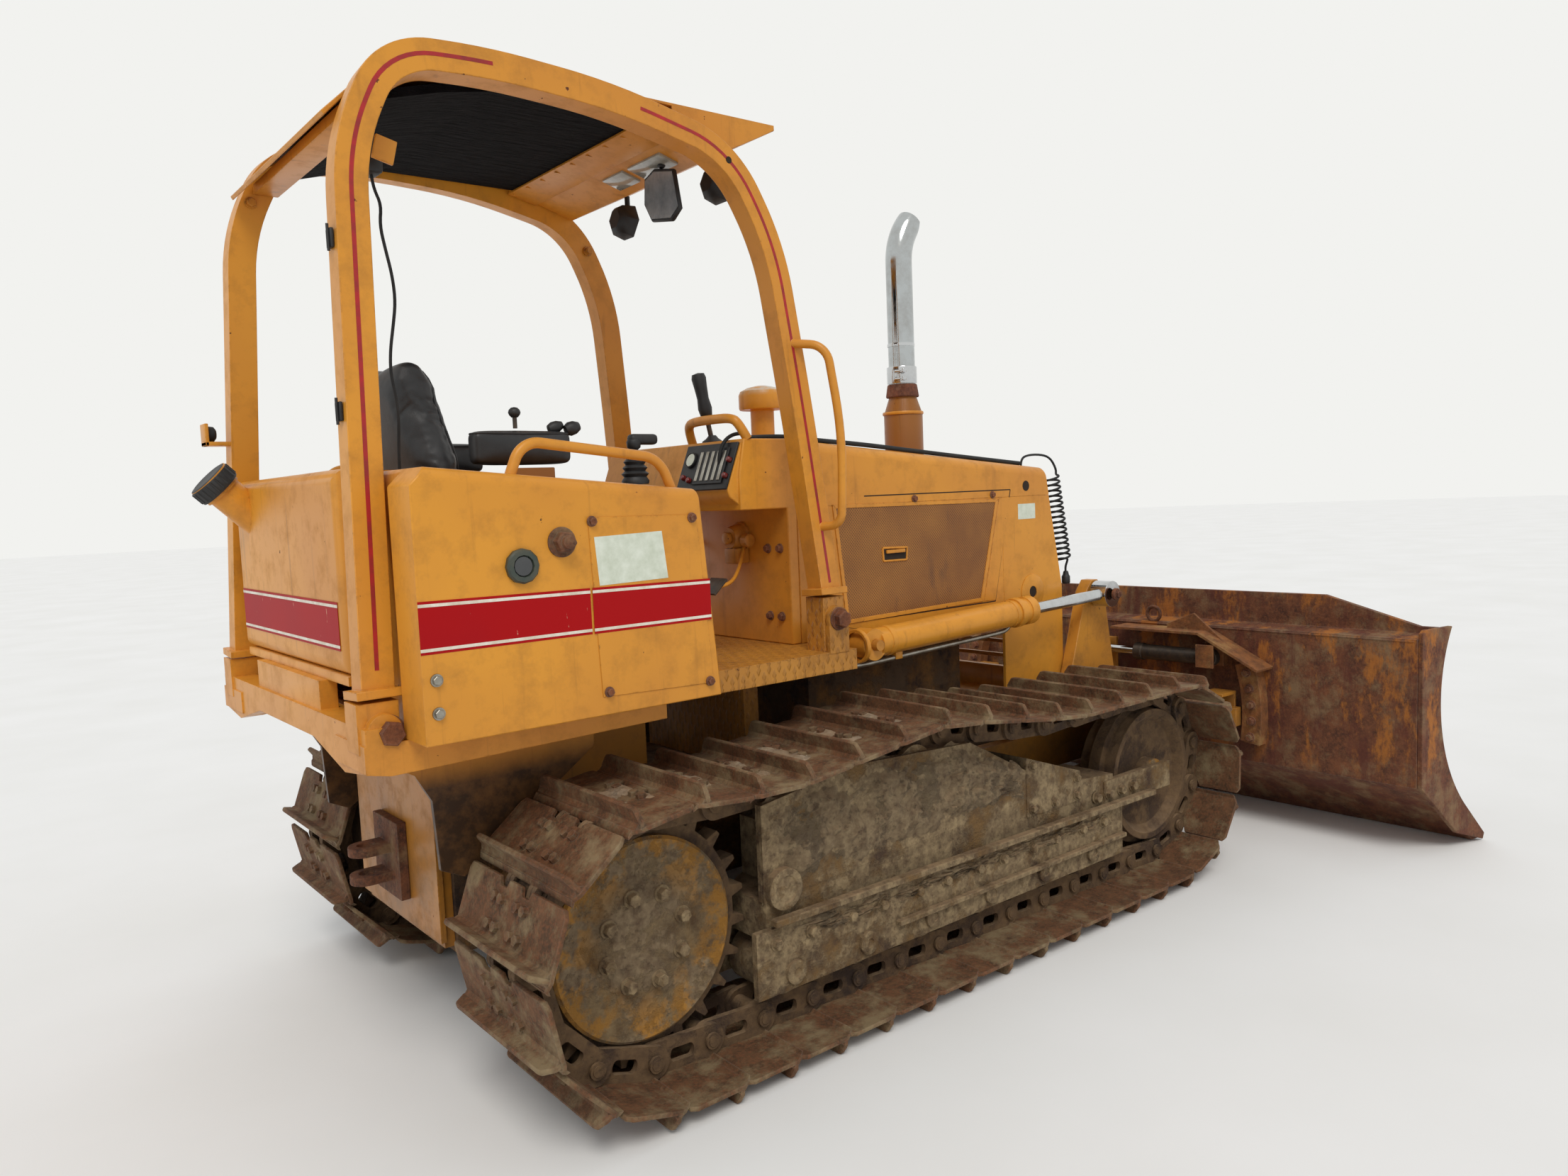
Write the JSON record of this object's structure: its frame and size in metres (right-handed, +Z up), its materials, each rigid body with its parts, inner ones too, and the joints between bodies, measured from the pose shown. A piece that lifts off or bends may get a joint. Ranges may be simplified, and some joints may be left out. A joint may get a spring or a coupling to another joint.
{
  "type": "crawler bulldozer with six-way blade and roll-over canopy",
  "caption": "Compact crawler bulldozer with a six-way blade on a push frame, open operator's place under a two-arch roll-over canopy, and steel tracks with single bars.",
  "frame": {"origin": "middle of the machine's footprint box on the ground", "axes": "+X forward, +Y to the left, +Z up"},
  "size_m": [4.2745, 2.9956, 2.648],
  "materials": {
    "yellow_paint": "weathered satin paint",
    "rusty_steel": "rusty, with remains of paint",
    "muddy_steel": "dry mud over rust",
    "chrome_rod": "polished",
    "black_vinyl": "grained vinyl",
    "black_plastic": "matt"
  },
  "bodies": {
    "chassis": {"armrests": "black_vinyl", "cable_plug": "black_plastic", "curly_cable": "black_plastic", "dash_cowl": "yellow_paint", "drawbar": "muddy_steel", "engine_block": "muddy_steel", "exhaust_muffler": "yellow_paint", "exhaust_stack": "chrome_rod", "fender_box_left": "yellow_paint", "fender_box_right": "yellow_paint", "floor_deck": "yellow_paint", "fuel_tank": "yellow_paint", "gauge_panel": "black_plastic", "grab_rail_left": "yellow_paint", "grab_rail_right": "yellow_paint", "headliner": "black_vinyl", "hood": "yellow_paint", "idler_left": "muddy_steel", "idler_right": "muddy_steel", "lamp_cord": "black_plastic", "levers": "black_plastic", "lift_bracket_left": "yellow_paint", "lift_bracket_right": "yellow_paint", "main_frame": "yellow_paint", "precleaner": "black_plastic", "radiator_guard": "yellow_paint", "rear_beam": "yellow_paint", "rear_housing": "yellow_paint", "roll_bar_left": "yellow_paint", "roll_bar_right": "yellow_paint", "roof": "yellow_paint", "roof_fittings": "black_plastic", "seat_back": "black_vinyl", "seat_base": "black_plastic", "seat_cushion": "black_vinyl", "side_screen_left": "yellow_paint", "side_screen_right": "yellow_paint", "sprocket_left": "muddy_steel", "sprocket_right": "muddy_steel", "track_frame_left": "muddy_steel", "track_frame_right": "muddy_steel", "track_left": "rusty_steel", "track_right": "rusty_steel", "visors": "yellow_paint"},
    "push_frame": {"push_frame": "yellow_paint"},
    "swing_carrier": {"swing_carrier": "yellow_paint"},
    "blade": {"blade": "rusty_steel", "blade_end_right": "rusty_steel", "blade_end_left": "rusty_steel", "blade_guards": "rusty_steel"},
    "tilt_barrel": {"tilt_barrel": "black_plastic"},
    "tilt_rod": {"tilt_rod": "chrome_rod"},
    "lift_barrel_right": {"lift_barrel_right": "yellow_paint"},
    "lift_rod_right": {"lift_rod_right": "chrome_rod"},
    "lift_barrel_left": {"lift_barrel_left": "yellow_paint"},
    "lift_rod_left": {"lift_rod_left": "chrome_rod"},
    "angle_barrel_right": {"angle_barrel_right": "yellow_paint"},
    "angle_rod_right": {"angle_rod_right": "chrome_rod"},
    "angle_barrel_left": {"angle_barrel_left": "yellow_paint"},
    "angle_rod_left": {"angle_rod_left": "chrome_rod"}
  },
  "joints": [
    {"name": "blade_lift", "type": "hinge", "parent": "chassis", "child": "push_frame", "pos_m": [-0.523, 0, 0.48], "axis": [0, -1, 0], "range_deg": [-8.5, 18]},
    {"name": "blade_angle", "type": "hinge", "parent": "push_frame", "child": "swing_carrier", "pos_m": [1.437, 0, 0.47], "axis": [0, 0, 1], "range_deg": [-24, 24]},
    {"name": "blade_tilt", "type": "hinge", "parent": "swing_carrier", "child": "blade", "pos_m": [1.657, 0, 0.5], "axis": [1, 0, 0], "range_deg": [-8, 8]},
    {"name": "lift_barrel_right_pivot", "type": "hinge", "parent": "chassis", "child": "lift_barrel_right", "pos_m": [-0.361, -0.5, 1.024], "axis": [0, -1, 0], "range_deg": [-11.12, 22.42]},
    {"name": "lift_rod_right_slide", "type": "slide", "parent": "lift_barrel_right", "child": "lift_rod_right", "axis": [0.9993, 0, 0.0361], "range_m": [-0.1615, 0.0784]},
    {"name": "angle_barrel_right_pivot", "type": "hinge", "parent": "push_frame", "child": "angle_barrel_right", "pos_m": [1.282, -0.11, 0.56], "axis": [0, 0, 1], "range_deg": [-26.2, 26.2]},
    {"name": "angle_rod_right_slide", "type": "slide", "parent": "angle_barrel_right", "child": "angle_rod_right", "axis": [0.4671, -0.8842, 0], "range_m": [-0.0805, 0.0805]},
    {"name": "lift_barrel_left_pivot", "type": "hinge", "parent": "chassis", "child": "lift_barrel_left", "pos_m": [-0.361, 0.5, 1.024], "axis": [0, -1, 0], "range_deg": [-11.12, 22.42]},
    {"name": "lift_rod_left_slide", "type": "slide", "parent": "lift_barrel_left", "child": "lift_rod_left", "axis": [0.9993, 0, 0.0361], "range_m": [-0.1615, 0.0784]},
    {"name": "angle_barrel_left_pivot", "type": "hinge", "parent": "push_frame", "child": "angle_barrel_left", "pos_m": [1.282, 0.11, 0.56], "axis": [0, 0, 1], "range_deg": [-26.2, 26.2]},
    {"name": "angle_rod_left_slide", "type": "slide", "parent": "angle_barrel_left", "child": "angle_rod_left", "axis": [0.4671, 0.8842, 0], "range_m": [-0.0805, 0.0805]},
    {"name": "tilt_barrel_pivot", "type": "hinge", "parent": "blade", "child": "tilt_barrel", "pos_m": [1.597, -0.6, 0.74], "axis": [1, 0, 0], "range_deg": [-1.92, 1.92]},
    {"name": "tilt_rod_slide", "type": "slide", "parent": "tilt_barrel", "child": "tilt_rod", "axis": [0, 1, 0], "range_m": [-0.0344, 0.0344]}
  ],
  "couplings": [
    {"joint": "lift_barrel_right_pivot", "follows": "blade_lift", "ratio": 1.19},
    {"joint": "lift_rod_right_slide", "follows": "blade_lift", "m_per_rad": -0.5013},
    {"joint": "angle_barrel_right_pivot", "follows": "blade_angle", "ratio": 1.05},
    {"joint": "angle_rod_right_slide", "follows": "blade_angle", "m_per_rad": 0.1826},
    {"joint": "lift_barrel_left_pivot", "follows": "blade_lift", "ratio": 1.19},
    {"joint": "lift_rod_left_slide", "follows": "blade_lift", "m_per_rad": -0.5013},
    {"joint": "angle_barrel_left_pivot", "follows": "blade_angle", "ratio": 1.05},
    {"joint": "angle_rod_left_slide", "follows": "blade_angle", "m_per_rad": -0.1826},
    {"joint": "tilt_barrel_pivot", "follows": "blade_tilt", "ratio": 0.115},
    {"joint": "tilt_rod_slide", "follows": "blade_tilt", "m_per_rad": 0.2178}
  ]
}
